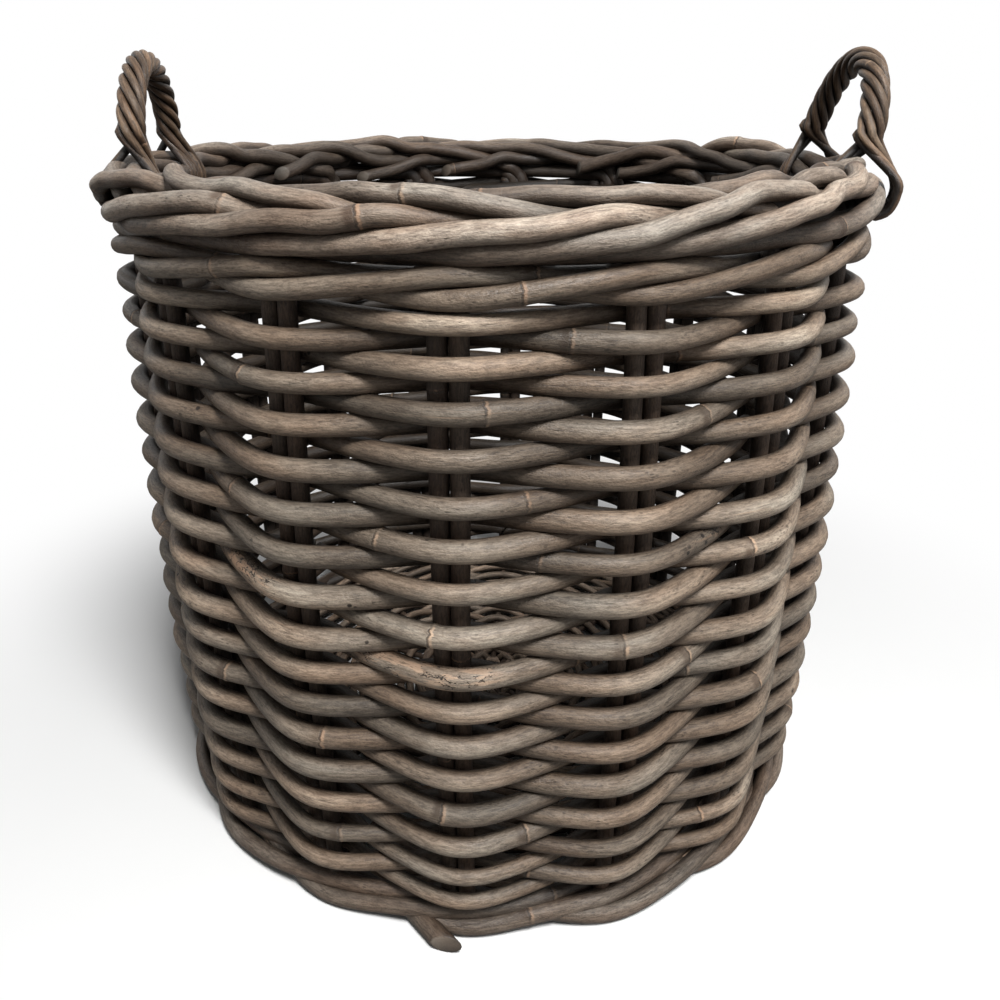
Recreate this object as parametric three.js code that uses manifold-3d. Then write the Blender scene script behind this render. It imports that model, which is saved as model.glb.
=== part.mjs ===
// Outdoor planter basket woven from round rattan rods, in millimetres, with +Z up.
// The origin is the centre of the foot ring, on the ground. Angles turn from the front (-Y) towards +X.
import * as THREE from 'three';
import { mergeVertices } from 'three/addons/utils/BufferGeometryUtils.js';
import Module from 'manifold-3d';

const wasm = await Module();
wasm.setup();

// Rods
const stakeDiameter = 9;
const weaverDiameter = 9.7;
const waleDiameter = 8;
const borderDiameter = 10.4;
const footDiameter = 6.6;
const baseStickDiameter = 6;
const handleStrandDiameter = 6.4;

// Wall: upright stakes in pairs, and rows of weavers that pass in front of one pair and behind the next
const stakePairs = 16;
const stakeTurn = -4.2;
const weaverRows = 31;
const seamStagger = 3;
const stakeCircleFoot = 191;
const stakeCircleTop = 205.4;
const wallBulge = 3.5;
const rowGapFoot = 0.35;
const rowGapTop = 0.75;
const waleGap = 2.5;

// Rings twisted like a rope: the foot that the basket stands on, which is one rod wound round as often as it has
// strands, and the rolled border round the rim, which has a rod for each strand
const footStrands = 2;
const footTwists = 3;
const footOverhang = 12.2;
const footCircle = stakeCircleFoot + footOverhang;
const footFlat = 0.5;
const footLay = -50;
const footCutAngle = -4.5;
const footTailReach = 4;
const borderStrands = 5;
const borderTwists = 2;
const borderOverhang = 4.6;
const borderCircle = stakeCircleTop + borderOverhang;
const borderLay = -21;
const borderCutTurn = 205;
const borderGap = 0.5;

// Base: crossed sticks that run through a flat woven mat
const baseSticks = 8;
const baseLift = 2;
const baseEdgeRound = 1.5;

// Handles: a bow of twisted strands, whose two legs straddle the border
const handleSpan = 96;
const handleRise = 54.5;
const handleRopeDiameter = 15.4;
const handleGrip = 130;
const handleSplay = 9;
const rightHandle = { angle: 84.5, lean: 11 };
const leftHandle = { angle: -84, lean: 1 };

// Clearances
const fit = 0.3;
const saddleFit = 0.4;
const cutGap = 1.5;

// Faces round a rod, and steps along it
const rodSides = 5;
const borderSides = 6;
const bowSides = 8;
const ropeSteps = 36;
const stakeSteps = 3;
const bowSteps = 16;
const saddleSteps = 10;
const matSteps = 36;

const rattanGrey = new THREE.Color(0.31, 0.26, 0.21);
const stakeBrown = new THREE.Color(0.2, 0.15, 0.115);
const borderBrown = new THREE.Color(0.33, 0.27, 0.22);
const handleTan = new THREE.Color(0.36, 0.28, 0.2);

// Distance from a rope's axis to the axis of one of its strands, when neighbouring strands just clear
const strandOffset = (strands, diameter) => (diameter + fit) / (2 * Math.sin(Math.PI / strands));
const ropeRadius = (strands, diameter) => strandOffset(strands, diameter) + diameter / 2;

// Heights, stacked from the ground up
const footRope = ropeRadius(footStrands, footDiameter);
const footUnderside = strandOffset(footStrands, footDiameter) + (footDiameter / 2) * Math.cos(Math.PI / rodSides);
const footHeight = footUnderside - footFlat;
const footTop = footHeight + footRope;
const lowestRow = footTop + fit + weaverDiameter / 2;
// The gap between one row and the next grows evenly from the foot to the top
const rowHeight = (row) => {
  const growth = (rowGapTop - rowGapFoot) / (weaverRows - 1);
  return lowestRow + row * (weaverDiameter + rowGapFoot) + (growth * row * (row - 1)) / 2;
};
const highestRow = rowHeight(weaverRows - 1);
const waleReach = (stakeDiameter + waleDiameter) / 2 + fit;
const waleClear = waleDiameter + fit;
// A wale rod's low and high passes lie this far from the middle of the wale, and it dives in from half of it.
// So the rod that dives in and the one that comes out, which cross at three halves of it, just clear.
const waleRise = waleClear / 1.5;
const waleMiddle = highestRow + (weaverDiameter + waleDiameter) / 2 + waleGap + waleRise;
const waleTop = waleMiddle + waleRise + waleDiameter / 2;
const borderRope = ropeRadius(borderStrands, borderDiameter);
const borderHeight = waleTop + borderGap + borderRope;
const stakeFoot = footTop + fit;
const stakeTop = borderHeight - borderRope - fit;
const baseRadius = footCircle * Math.cos(Math.PI / ropeSteps) - footRope - fit;
const baseHeight = (baseLift + footTop) / 2;
const saddleReach = borderRope + saddleFit + handleStrandDiameter / 2;
// A rod that passes a pair runs flat for this far to either side of the pair's middle
const passHalfWidth = 0.9 * stakeDiameter;

const radians = THREE.MathUtils.degToRad;
const up = new THREE.Vector3(0, 0, 1);

function onCircle(radius, angle, height) {
  return new THREE.Vector3(radius * Math.sin(angle), -radius * Math.cos(angle), height);
}

// Distance from the middle to a ring made of straight steps, which is least halfway along a step
function steppedCircle(circle, angle) {
  const step = (2 * Math.PI) / ropeSteps;
  const past = THREE.MathUtils.euclideanModulo(angle, step);
  return (circle * Math.cos(step / 2)) / Math.cos(past - step / 2);
}

// The circle that the stakes stand on widens from the foot (0) to the top (1) and bulges a little in between
function bulgedCircle(rise) {
  return THREE.MathUtils.lerp(stakeCircleFoot, stakeCircleTop, rise) + wallBulge * 4 * rise * (1 - rise);
}

// Radius of that circle at a height, on stakes made of straight stretches
function stakeCircle(height) {
  const stretches = (stakeSteps * (height - stakeFoot)) / (stakeTop - stakeFoot);
  const below = THREE.MathUtils.clamp(Math.floor(stretches), 0, stakeSteps - 1);
  const lower = bulgedCircle(below / stakeSteps);
  const upper = bulgedCircle((below + 1) / stakeSteps);
  return THREE.MathUtils.lerp(lower, upper, stretches - below);
}

const roundSection = (diameter, sides) => Array.from({ length: sides }, (_, k) => {
  const turn = (2 * Math.PI * k) / sides;
  return new THREE.Vector2((diameter / 2) * Math.cos(turn), (diameter / 2) * Math.sin(turn));
});

// A closed solid: a section carried along a list of points. The section's x points to `upward`.
function sweep(points, section, upward) {
  const positions = [];
  const index = [];
  const last = points.length - 1;
  const sides = section.length;
  points.forEach((point, i) => {
    const along = points[Math.min(i + 1, last)].clone().sub(points[Math.max(i - 1, 0)]).normalize();
    const across = new THREE.Vector3().crossVectors(along, upward).normalize();
    const top = new THREE.Vector3().crossVectors(across, along);
    for (const corner of section) {
      const place = point.clone().addScaledVector(top, corner.x).addScaledVector(across, corner.y);
      positions.push(...place);
    }
  });
  for (let i = 0; i < last; i += 1) {
    for (let k = 0; k < sides; k += 1) {
      const here = i * sides + k;
      const next = i * sides + ((k + 1) % sides);
      index.push(here, next, next + sides, here, next + sides, here + sides);
    }
  }
  const startCentre = positions.length / 3;
  positions.push(...points[0], ...points[last]);
  for (let k = 0; k < sides; k += 1) {
    const next = (k + 1) % sides;
    index.push(startCentre, next, k);
    index.push(startCentre + 1, last * sides + k, last * sides + next);
  }
  const geometry = new THREE.BufferGeometry();
  geometry.setAttribute('position', new THREE.Float32BufferAttribute(positions, 3));
  geometry.setIndex(index);
  return geometry;
}

function toManifold(geometry) {
  const vertProperties = new Float32Array(geometry.attributes.position.array);
  const triVerts = new Uint32Array(geometry.index.array);
  return new wasm.Manifold(new wasm.Mesh({ numProp: 3, vertProperties, triVerts }));
}

function fromManifold(solid) {
  const mesh = solid.getMesh();
  const geometry = new THREE.BufferGeometry();
  geometry.setAttribute('position', new THREE.Float32BufferAttribute(mesh.vertProperties, 3));
  geometry.setIndex(Array.from(mesh.triVerts));
  return geometry;
}

const union = (geometries) => geometries.map(toManifold).reduce((whole, piece) => whole.add(piece));

function addPiece(group, name, geometry, color, roughness) {
  const material = new THREE.MeshStandardMaterial({ color, roughness, metalness: 0 });
  const mesh = new THREE.Mesh(geometry, material);
  mesh.name = name;
  group.add(mesh);
}

const pairAngle = (pair) => radians(stakeTurn) + (2 * Math.PI * pair) / stakePairs;
const twoDigits = (number) => String(number).padStart(2, '0');

// Two rods side by side, as one outline with a neck between them. Its x lies along the wall.
function pairSection() {
  const outline = [];
  const neck = Math.PI / rodSides;
  for (const side of [1, -1]) {
    for (let k = 0; k < rodSides; k += 1) {
      const turn = -Math.PI + neck + k * 2 * neck;
      const across = stakeDiameter / 2 + (stakeDiameter / 2) * Math.cos(turn);
      const out = (stakeDiameter / 2) * Math.sin(turn);
      outline.push(new THREE.Vector2(side * across, side * out));
    }
  }
  return outline;
}

function addStakes(group) {
  const section = pairSection();
  for (let pair = 0; pair < stakePairs; pair += 1) {
    const angle = pairAngle(pair);
    const points = [];
    for (let step = 0; step <= stakeSteps; step += 1) {
      const height = THREE.MathUtils.lerp(stakeFoot, stakeTop, step / stakeSteps);
      points.push(onCircle(stakeCircle(height), angle, height));
    }
    const alongWall = onCircle(1, angle + Math.PI / 2, 0);
    addPiece(group, `stake_pair_${twoDigits(pair + 1)}`, sweep(points, section, alongWall), stakeBrown, 0.8);
  }
}

// One row: a rod that starts and ends behind the same pair. It runs flat in front of a pair and bows behind the next.
function weaverPath(row) {
  const height = rowHeight(row);
  const circle = stakeCircle(height);
  const reach = (stakeDiameter + weaverDiameter) / 2 + fit;
  const toNextPass = (2 * Math.PI) / stakePairs - passHalfWidth / circle;
  const fallOff = circle - (circle + reach) * Math.cos(toNextPass);
  const slope = Math.abs(reach - fallOff) / ((circle + reach) * Math.sin(toNextPass));
  const bow = reach * Math.hypot(1, slope) + (slope * stakeDiameter) / 2;
  const seam = row + 1 + 2 * seamStagger * row;
  const points = [];
  const place = (pair, along, out) => {
    points.push(onCircle(circle + out, pairAngle(pair) + along / circle, height));
  };
  place(seam, cutGap / 2, -bow);
  for (let step = 1; step < stakePairs; step += 1) {
    if (step % 2 === 0) {
      place(seam + step, 0, -bow);
    } else {
      place(seam + step, -passHalfWidth, reach);
      place(seam + step, passHalfWidth, reach);
    }
  }
  place(seam + stakePairs, -cutGap / 2, stakePairs % 2 === 0 ? -bow : reach);
  return points;
}

function addWeaverRows(group) {
  const section = roundSection(weaverDiameter, rodSides);
  for (let row = 0; row < weaverRows; row += 1) {
    const shade = rattanGrey.clone().multiplyScalar(row % 2 === 0 ? 1 : 0.9);
    addPiece(group, `weaver_row_${twoDigits(row + 1)}`, sweep(weaverPath(row), section, up), shade, 0.75);
  }
}

// A wale rod passes behind one pair, low in front of the next, high in front of the third, and so on
function walePath(start, pairs) {
  const passes = [
    { out: -waleReach, rises: [waleRise / 2, -waleRise / 2] },
    { out: waleReach, rises: [-waleRise, -waleRise] },
    { out: waleReach, rises: [waleRise, waleRise] },
  ];
  const circle = stakeCircle(waleMiddle);
  const points = [];
  for (let step = 0; step <= pairs; step += 1) {
    const pass = passes[step % passes.length];
    const from = step === 0 ? cutGap / 2 : -passHalfWidth;
    const to = step === pairs ? -cutGap / 2 : passHalfWidth;
    [from, to].forEach((along, side) => {
      const angle = pairAngle(start + step) + along / circle;
      const rise = Math.abs(along) < passHalfWidth ? 0 : pass.rises[side];
      points.push(onCircle(circle + pass.out, angle, waleMiddle + rise));
    });
  }
  return points;
}

// Three rods share the wale. Each starts and ends behind a pair, so their lengths add up to three turns.
function addWale(group) {
  const section = roundSection(waleDiameter, rodSides);
  const closes = stakePairs % 3 === 0;
  const short = stakePairs - (stakePairs % 3);
  const lengths = [short, short, 3 * stakePairs - 2 * short];
  const starts = closes ? [0, 1, 2] : [0, short, 2 * short];
  lengths.forEach((pairs, rod) => {
    addPiece(group, `wale_rod_${rod + 1}`, sweep(walePath(starts[rod], pairs), section, up), rattanGrey, 0.75);
  });
}

// Where a strand of a ring rope lies at an angle round the ring, in turns round the rope's own axis
function strandTurn(rope, strand, angle) {
  return radians(rope.lay) + (2 * Math.PI * strand) / rope.strands + rope.twists * (angle - radians(rope.cutAngle));
}

// A strand of a ring rope, for one lap or more. It is cut at the step round the ring nearest to its turn of `cutTurn`.
function strandPath(rope, strand, laps, tailReach) {
  const steps = laps * ropeSteps;
  const offset = strandOffset(rope.strands, rope.diameter);
  const stepAngle = (2 * Math.PI) / ropeSteps;
  const turnsToCut = (radians(rope.cutTurn) - radians(rope.lay)) / (2 * Math.PI) - strand / rope.strands;
  const start = radians(rope.cutAngle) + Math.round((turnsToCut / rope.twists) * ropeSteps) * stepAngle;
  const halfGap = cutGap / 2 / rope.circle;
  const points = [];
  for (let step = 0; step <= steps; step += 1) {
    const nudge = (step === 0 ? halfGap : 0) - (step === steps ? halfGap : 0);
    const angle = start + step * stepAngle + nudge;
    const turn = strandTurn(rope, strand, angle);
    const out = offset * Math.cos(turn) + (step === steps ? tailReach : 0);
    points.push(onCircle(rope.circle + out, angle, rope.height + offset * Math.sin(turn)));
  }
  return points;
}

// Flattens whatever hangs below the ground, so that the foot rests on flat faces
function flattenOnGround(geometry) {
  const { position } = geometry.attributes;
  for (let i = 0; i < position.count; i += 1) {
    position.setZ(i, Math.max(position.getZ(i), 0));
  }
  return geometry;
}

// One rod makes the foot: each lap ends a strand further round the rope, so the next lap lies beside it.
// It ends in a tail that stands out from the ring at the front.
function addFoot(group) {
  const rope = {
    strands: footStrands,
    diameter: footDiameter,
    twists: footTwists + 1 / footStrands,
    circle: footCircle,
    height: footHeight,
    lay: footLay,
    cutAngle: footCutAngle,
    cutTurn: footLay,
  };
  const path = strandPath(rope, 0, footStrands, footTailReach);
  const rod = flattenOnGround(sweep(path, roundSection(footDiameter, rodSides), up));
  addPiece(group, 'foot_rod', rod, borderBrown, 0.8);
}

function addBorder(group) {
  const rope = {
    strands: borderStrands,
    diameter: borderDiameter,
    twists: borderTwists,
    circle: borderCircle,
    height: borderHeight,
    lay: borderLay,
    cutAngle: 0,
    cutTurn: borderCutTurn,
  };
  const section = roundSection(borderDiameter, borderSides);
  for (let strand = 0; strand < borderStrands; strand += 1) {
    const rod = sweep(strandPath(rope, strand, 1, 0), section, up);
    addPiece(group, `border_rod_${strand + 1}`, rod, borderBrown, 0.75);
  }
}

// Straight sticks crossed at the centre of the base, one for each two opposite pairs of stakes
function baseStar(radius, diameter) {
  const sticks = [];
  for (let stick = 0; stick < baseSticks; stick += 1) {
    const angle = radians(stakeTurn) + (Math.PI * stick) / baseSticks;
    const ends = [onCircle(radius, angle, baseHeight), onCircle(-radius, angle, baseHeight)];
    sticks.push(sweep(ends, roundSection(diameter, borderSides), up));
  }
  return union(sticks);
}

// The mat is woven round the sticks, so they run through it in snug tunnels that open at its edge
function addBase(group) {
  const profile = [
    [0, baseLift],
    [baseRadius - baseEdgeRound, baseLift],
    [baseRadius, baseLift + baseEdgeRound],
    [baseRadius, footTop - baseEdgeRound],
    [baseRadius - baseEdgeRound, footTop],
    [0, footTop],
  ].map(([radius, height]) => new THREE.Vector2(radius, height));
  const lathe = new THREE.LatheGeometry(profile, matSteps).rotateX(Math.PI / 2);
  lathe.deleteAttribute('normal').deleteAttribute('uv');
  const tunnels = baseStar(baseRadius + fit, baseStickDiameter + 2 * fit);
  const mat = toManifold(mergeVertices(lathe, 0.001)).subtract(tunnels);
  addPiece(group, 'base_weave', fromManifold(mat), rattanGrey, 0.8);
  addPiece(group, 'base_sticks', fromManifold(baseStar(baseRadius, baseStickDiameter)), stakeBrown, 0.8);
}

// A strand that straddles the border: down outside and inside, its ends splayed to opposite ways along the rim
function saddleStrand(legAngle, splay) {
  const points = [];
  for (let step = 0; step <= saddleSteps; step += 1) {
    const way = 1 - (2 * step) / saddleSteps;
    const turn = Math.PI / 2 - radians(handleGrip) * way;
    const angle = legAngle + (splay * way * Math.abs(way)) / borderCircle;
    const radius = steppedCircle(borderCircle, angle) + saddleReach * Math.cos(turn);
    points.push(onCircle(radius, angle, borderHeight + saddleReach * Math.sin(turn)));
  }
  const alongRim = onCircle(1, legAngle + Math.PI / 2, 0);
  return sweep(points, roundSection(handleStrandDiameter, rodSides), alongRim);
}

// The bow is half an ellipse that stands on the top of the two saddles and leans outwards
function handleBow(centreAngle, lean) {
  const legCircle = Math.sqrt(borderCircle ** 2 - (handleSpan / 2) ** 2);
  const outward = onCircle(1, centreAngle, 0);
  const alongRim = onCircle(1, centreAngle + Math.PI / 2, 0);
  const points = [];
  for (let step = 0; step <= bowSteps; step += 1) {
    const turn = (Math.PI * step) / bowSteps;
    const rise = handleRise * Math.sin(turn);
    const point = outward.clone().multiplyScalar(legCircle + rise * Math.tan(lean));
    point.addScaledVector(alongRim, (-handleSpan / 2) * Math.cos(turn));
    point.z = borderHeight + saddleReach + rise;
    points.push(point);
  }
  return sweep(points, roundSection(handleRopeDiameter, bowSides), outward);
}

function addHandle(group, name, place) {
  const centreAngle = radians(place.angle);
  const legTurn = Math.asin(handleSpan / 2 / borderCircle);
  const pieces = [handleBow(centreAngle, radians(place.lean))];
  for (const side of [-1, 1]) {
    for (const splay of [-handleSplay, handleSplay]) {
      pieces.push(saddleStrand(centreAngle + side * legTurn, splay));
    }
  }
  addPiece(group, name, fromManifold(union(pieces)), handleTan, 0.7);
}

const basket = new THREE.Group();
addFoot(basket);
addBase(basket);
addStakes(basket);
addWeaverRows(basket);
addWale(basket);
addBorder(basket);
addHandle(basket, 'handle_left', leftHandle);
addHandle(basket, 'handle_right', rightHandle);

export default basket;
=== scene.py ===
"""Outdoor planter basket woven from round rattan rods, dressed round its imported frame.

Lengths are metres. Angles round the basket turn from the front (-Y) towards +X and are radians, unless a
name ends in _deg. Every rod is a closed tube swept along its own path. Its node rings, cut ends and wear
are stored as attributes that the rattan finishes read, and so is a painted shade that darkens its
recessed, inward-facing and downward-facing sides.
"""

import logging
from dataclasses import dataclass, field
from enum import Enum

import bpy
import numpy as np
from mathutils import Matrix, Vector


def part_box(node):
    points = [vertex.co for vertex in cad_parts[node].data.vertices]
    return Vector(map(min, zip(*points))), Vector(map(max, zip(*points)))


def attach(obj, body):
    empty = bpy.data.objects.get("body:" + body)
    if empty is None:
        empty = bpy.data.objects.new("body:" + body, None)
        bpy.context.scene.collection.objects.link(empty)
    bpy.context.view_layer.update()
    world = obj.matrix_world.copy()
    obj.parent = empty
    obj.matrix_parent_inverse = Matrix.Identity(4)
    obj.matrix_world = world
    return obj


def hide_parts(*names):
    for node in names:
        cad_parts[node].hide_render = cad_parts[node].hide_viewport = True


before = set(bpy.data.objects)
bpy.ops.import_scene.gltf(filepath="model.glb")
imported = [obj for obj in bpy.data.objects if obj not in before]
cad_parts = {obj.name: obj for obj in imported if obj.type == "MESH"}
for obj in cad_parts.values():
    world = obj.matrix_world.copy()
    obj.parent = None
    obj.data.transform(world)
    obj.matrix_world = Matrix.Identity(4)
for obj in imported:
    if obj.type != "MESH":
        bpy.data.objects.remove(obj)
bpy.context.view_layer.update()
BODY = "root"
TURN = 2 * np.pi
UP = np.array([0.0, 0.0, 1.0])

Colour = tuple[float, float, float]
Place = tuple[float, float, float]
Line = tuple[float, float]
Span = tuple[float, float]
Socket = bpy.types.NodeSocket
Pieces = list[bpy.types.Object]
Finishes = dict[str, bpy.types.Material]

log = logging.getLogger("basket")


def unit(vectors: np.ndarray) -> np.ndarray:
    """Scales each vector in the last axis to length one."""
    return vectors / np.linalg.norm(vectors, axis=-1, keepdims=True)


def on_circle(radius: np.ndarray, angle: np.ndarray, height: np.ndarray) -> np.ndarray:
    """Places points round the basket's axis.

    x = radius sin(angle), y = -radius cos(angle), z = height.

    Args:
        radius: distance from the axis.
        angle: angle from the front towards +X.
        height: height above the ground.

    Returns:
        An array with one point per row.
    """
    radius, angle, height = np.broadcast_arrays(radius, angle, height)
    return np.stack([radius * np.sin(angle), -radius * np.cos(angle), height], axis=-1)


def arc_length(path: np.ndarray) -> np.ndarray:
    """Gives the distance along a path at each of its points."""
    steps = np.linalg.norm(np.diff(path, axis=0), axis=1)
    return np.concatenate([[0.0], np.cumsum(steps)])


def resample(values: np.ndarray, at: np.ndarray, wanted: np.ndarray) -> np.ndarray:
    """Reads each column of values, known at distances `at`, at the wanted distances."""
    return np.stack([np.interp(wanted, at, column) for column in values.T], axis=-1)


def smooth_path(knots: np.ndarray, step: float, parts: int = 12) -> np.ndarray:
    """Draws a smooth path through knots and spaces its points evenly.

    Between knots b and c, with neighbours a and d, the point at share t is the Catmull-Rom cubic b + t (c -
    a) / 2 + t^2 (a - 5 b / 2 + 2 c - d / 2) + t^3 (3 b / 2 - a / 2 - 3 c / 2 + d / 2).

    Args:
        knots: points that the path goes through.
        step: wanted distance between the path's points.
        parts: how many points of the cubic are worked out for each stretch between two knots.

    Returns:
        The points of the path.
    """
    before = np.concatenate([2 * knots[:1] - knots[1:2], knots[:-2]])
    after = np.concatenate([knots[2:], 2 * knots[-1:] - knots[-2:-1]])
    a, b, c, d = (side[:, None, :] for side in (before, knots[:-1], knots[1:], after))
    t = np.linspace(0, 1, parts, endpoint=False)[None, :, None]
    curve = b + t * (c - a) / 2 + t**2 * (a - 2.5 * b + 2 * c - d / 2)
    curve = curve + t**3 * (1.5 * (b - c) + (d - a) / 2)
    points = np.concatenate([curve.reshape(-1, knots.shape[1]), knots[-1:]])
    along = arc_length(points)
    count = max(int(np.ceil(along[-1] / step)), 2)
    return resample(points, along, np.linspace(0, along[-1], count + 1))


def between(knots: np.ndarray, place: np.ndarray) -> np.ndarray:
    """Reads knots at places between whole numbers, blended by the smooth step f^2 (3 - 2 f).

    Args:
        knots: the values at whole numbers, which repeat past the last.
        place: where to read them.

    Returns:
        One value per place.
    """
    index = np.floor(place).astype(int)
    share = place - index
    blend = share**2 * (3 - 2 * share)
    return knots[index % len(knots)] * (1 - blend) + knots[(index + 1) % len(knots)] * blend


def wander(along: np.ndarray, spacing: float, rng: np.random.Generator) -> np.ndarray:
    """Gives a smooth random value between -1 and 1 at each distance.

    Args:
        along: distances, which start near zero.
        spacing: distance between the random values that the result runs through.
        rng: source of the random values.

    Returns:
        One value per distance.
    """
    place = along / spacing
    return between(rng.uniform(-1, 1, int(np.ceil(place.max())) + 2), place)


class End(Enum):
    """How a rod's end is cut."""

    SQUARE = 0.12
    SLANT = 0.75
    STEEP = 1.3

    @property
    def slope(self) -> float:
        """Rise of the cut face over the rod's radius."""
        return self.value


@dataclass
class RodLook:
    """What makes one rod different from the next.

    Its tone runs from 0, dark, to 1, pale. Its nodes lie node_gap apart, from node_shift on. The field for
    the strength of the painted shade says how strongly the side that faces in or down is painted darker and
    kept from the wash; over 1 it also darkens part of the lit side. The worn stretch runs between two
    distances along the rod.
    """

    seed: int
    tone: float = 0.5
    node_gap: float = 0.21
    node_shift: float = 0.0
    taper: float = 0.0
    unevenness: float = 0.03
    shade_strength: float = 0.85
    ends: tuple[End, End] = (End.SQUARE, End.SQUARE)
    cut_turn_deg: float | None = None
    worn: Span = (0.0, 0.0)


@dataclass
class RodMesh:
    """Rods gathered into one mesh, each a closed tube."""

    sides: int = 16
    station_gap: float = 0.0036
    node_swell: float = 0.06
    node_width: float = 0.0016
    close_stations: tuple[float, ...] = (-2.2, -1.3, -0.6, 0.0, 0.6, 1.3, 2.2)
    end_margin: float = 0.002
    least_gap: float = 0.0003
    uneven_spacing: float = 0.055
    oval: float = 0.03
    cut_reach: float = 2.4
    edge_draw: float = 0.1
    worn_fade: float = 0.02
    seed_shift: float = 1.7
    seed_cycle: int = 97
    # Painted shade: the share of painted light that every point gets, and how much it grows as a point faces
    # outwards and as it faces up.
    painted_light_any: float = 0.22
    painted_light_outwards: float = 0.8
    painted_light_upwards: float = 0.26
    faces: list[np.ndarray] = field(default_factory=list)
    fans: list[np.ndarray] = field(default_factory=list)
    values: dict[str, list[np.ndarray]] = field(default_factory=dict)
    count: int = 0

    def stations(self, length: float, look: RodLook) -> np.ndarray:
        """Chooses the distances along a rod that get a ring of points, closer together at its nodes.

        Args:
            length: the rod's length.
            look: says where the rod's nodes lie.

        Returns:
            The sorted distances, from zero to the length.
        """
        even = np.linspace(0, length, max(int(length / self.station_gap), 4) + 1)
        nodes = np.arange(look.node_shift % look.node_gap, length, look.node_gap)
        extra = (nodes[:, None] + self.node_width * np.array(self.close_stations)).ravel()
        extra = extra[(extra > self.end_margin) & (extra < length - self.end_margin)]
        merged = np.sort(np.concatenate([even, extra]))
        keep = np.concatenate([[True], np.diff(merged) > self.least_gap])
        keep[-1] = True
        return merged[keep]

    def add(
        self, path: np.ndarray, radius: float, look: RodLook, shade: np.ndarray | None = None,
        core: np.ndarray | None = None, reference: np.ndarray = UP,
    ) -> None:
        """Sweeps a rod along a path.

        The surface point at distance s and turn p is C(s) + r(s, p) (cos p T(s) + sin p A(s)), where A lies
        across the path, T points to the reference side, and r is the radius with its taper, unevenness and
        nodes, a little oval. Near an end the point moves along the rod by slope r f^2 cos(p - q), where f
        fades from 1 at the end to 0 a little further in and q is the turn of the cut, so that the cut face
        slants.

        Args:
            path: the rod's centre line.
            radius: the rod's mean radius.
            look: the rod's own tone, nodes, taper and ends.
            shade: painted light level of each point of the path, from 0, darkest, to 1.
            core: for each point of the path, the nearest point of the rope or roll that the rod is part of.
            reference: the direction that the turn is counted from, one for all points or one for each.
        """
        rng = np.random.default_rng(look.seed)
        along = arc_length(path)
        at = self.stations(along[-1], look)
        centre = resample(path, along, at)
        side = resample(np.broadcast_to(reference, path.shape), along, at)
        tangent = unit(np.gradient(centre, at, axis=0))
        across = unit(np.cross(tangent, side))
        top = np.cross(across, tangent)
        turn = TURN * np.arange(self.sides) / self.sides
        out = np.cos(turn)[None, :, None] * top[:, None] + np.sin(turn)[None, :, None] * across[:, None]
        phase = (at - look.node_shift) / look.node_gap
        to_node = np.abs((phase + 0.5) % 1.0 - 0.5) * look.node_gap
        size = 1 + look.unevenness * wander(at, self.uneven_spacing, rng) + look.taper * (at / at[-1] - 0.5)
        size = size + self.node_swell * np.exp(-((to_node / self.node_width) ** 2))
        girth = (radius * size)[:, None] * (1 + self.oval * np.cos(2 * turn + rng.uniform(0, TURN)))
        drawn = rng.uniform(0, TURN)
        lean = np.cos(turn - (drawn if look.cut_turn_deg is None else np.radians(look.cut_turn_deg)))
        rings = centre[:, None] + girth[..., None] * out
        for end, to_end in zip(look.ends, (at, at[-1] - at)):
            fade = np.clip(1 - to_end / (self.cut_reach * radius), 0, 1) ** 2
            rings = rings + (end.slope * radius * fade[:, None] * lean)[..., None] * tangent[:, None]
        first = self._bevel(rings[:1], -tangent[0], radius)
        last = self._bevel(rings[-1:], tangent[-1], radius)
        self._store("position", np.concatenate([first, rings, last]))

        place = np.pad(at, 1, mode="edge")[:, None] + self.seed_shift * (look.seed % self.seed_cycle)
        space = np.broadcast_arrays(place, radius * np.cos(turn), radius * np.sin(turn))
        self._store("rod_space", np.stack(space, -1))
        # Painted shade: the rod's side that faces away from its way out, and every stretch given a low shade,
        # gets a darker colour and less wash.
        away = centre * np.array([1.0, 1.0, 0.0]) if core is None else centre - resample(core, along, at)
        painted_light_level = np.ones(len(at)) if shade is None else np.interp(at, along, shade)
        reach = self._painted_shade(look, out, unit(away), painted_light_level)
        self._store("rod_shade", np.pad(reach, ((1, 1), (0, 0)), mode="edge"))
        worn_from, worn_to = look.worn
        to_middle = np.abs(2 * at - worn_from - worn_to)
        worn = np.clip(1 + (worn_to - worn_from - to_middle) / self.worn_fade, 0, 1) * (worn_to > worn_from)
        for name, value in {
            "rod_ring": np.pad(phase, 1, mode="edge"),
            "rod_worn": np.pad(worn, 1, mode="edge"),
            "rod_tone": np.full(len(place), look.tone),
            "rod_cut": np.pad(np.zeros(len(at)), 1, constant_values=1.0),
        }.items():
            self._store(name, np.broadcast_to(value[:, None], (len(place), self.sides)))
        self._connect(len(place))

    def _bevel(self, ring: np.ndarray, outwards: np.ndarray, radius: float) -> np.ndarray:
        """Draws a ring in a little and pushes it outwards, so that a cut end has a soft edge."""
        centre = ring.mean(1, keepdims=True)
        return centre + (1 - self.edge_draw) * (ring - centre) + self.edge_draw * radius * outwards

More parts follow.
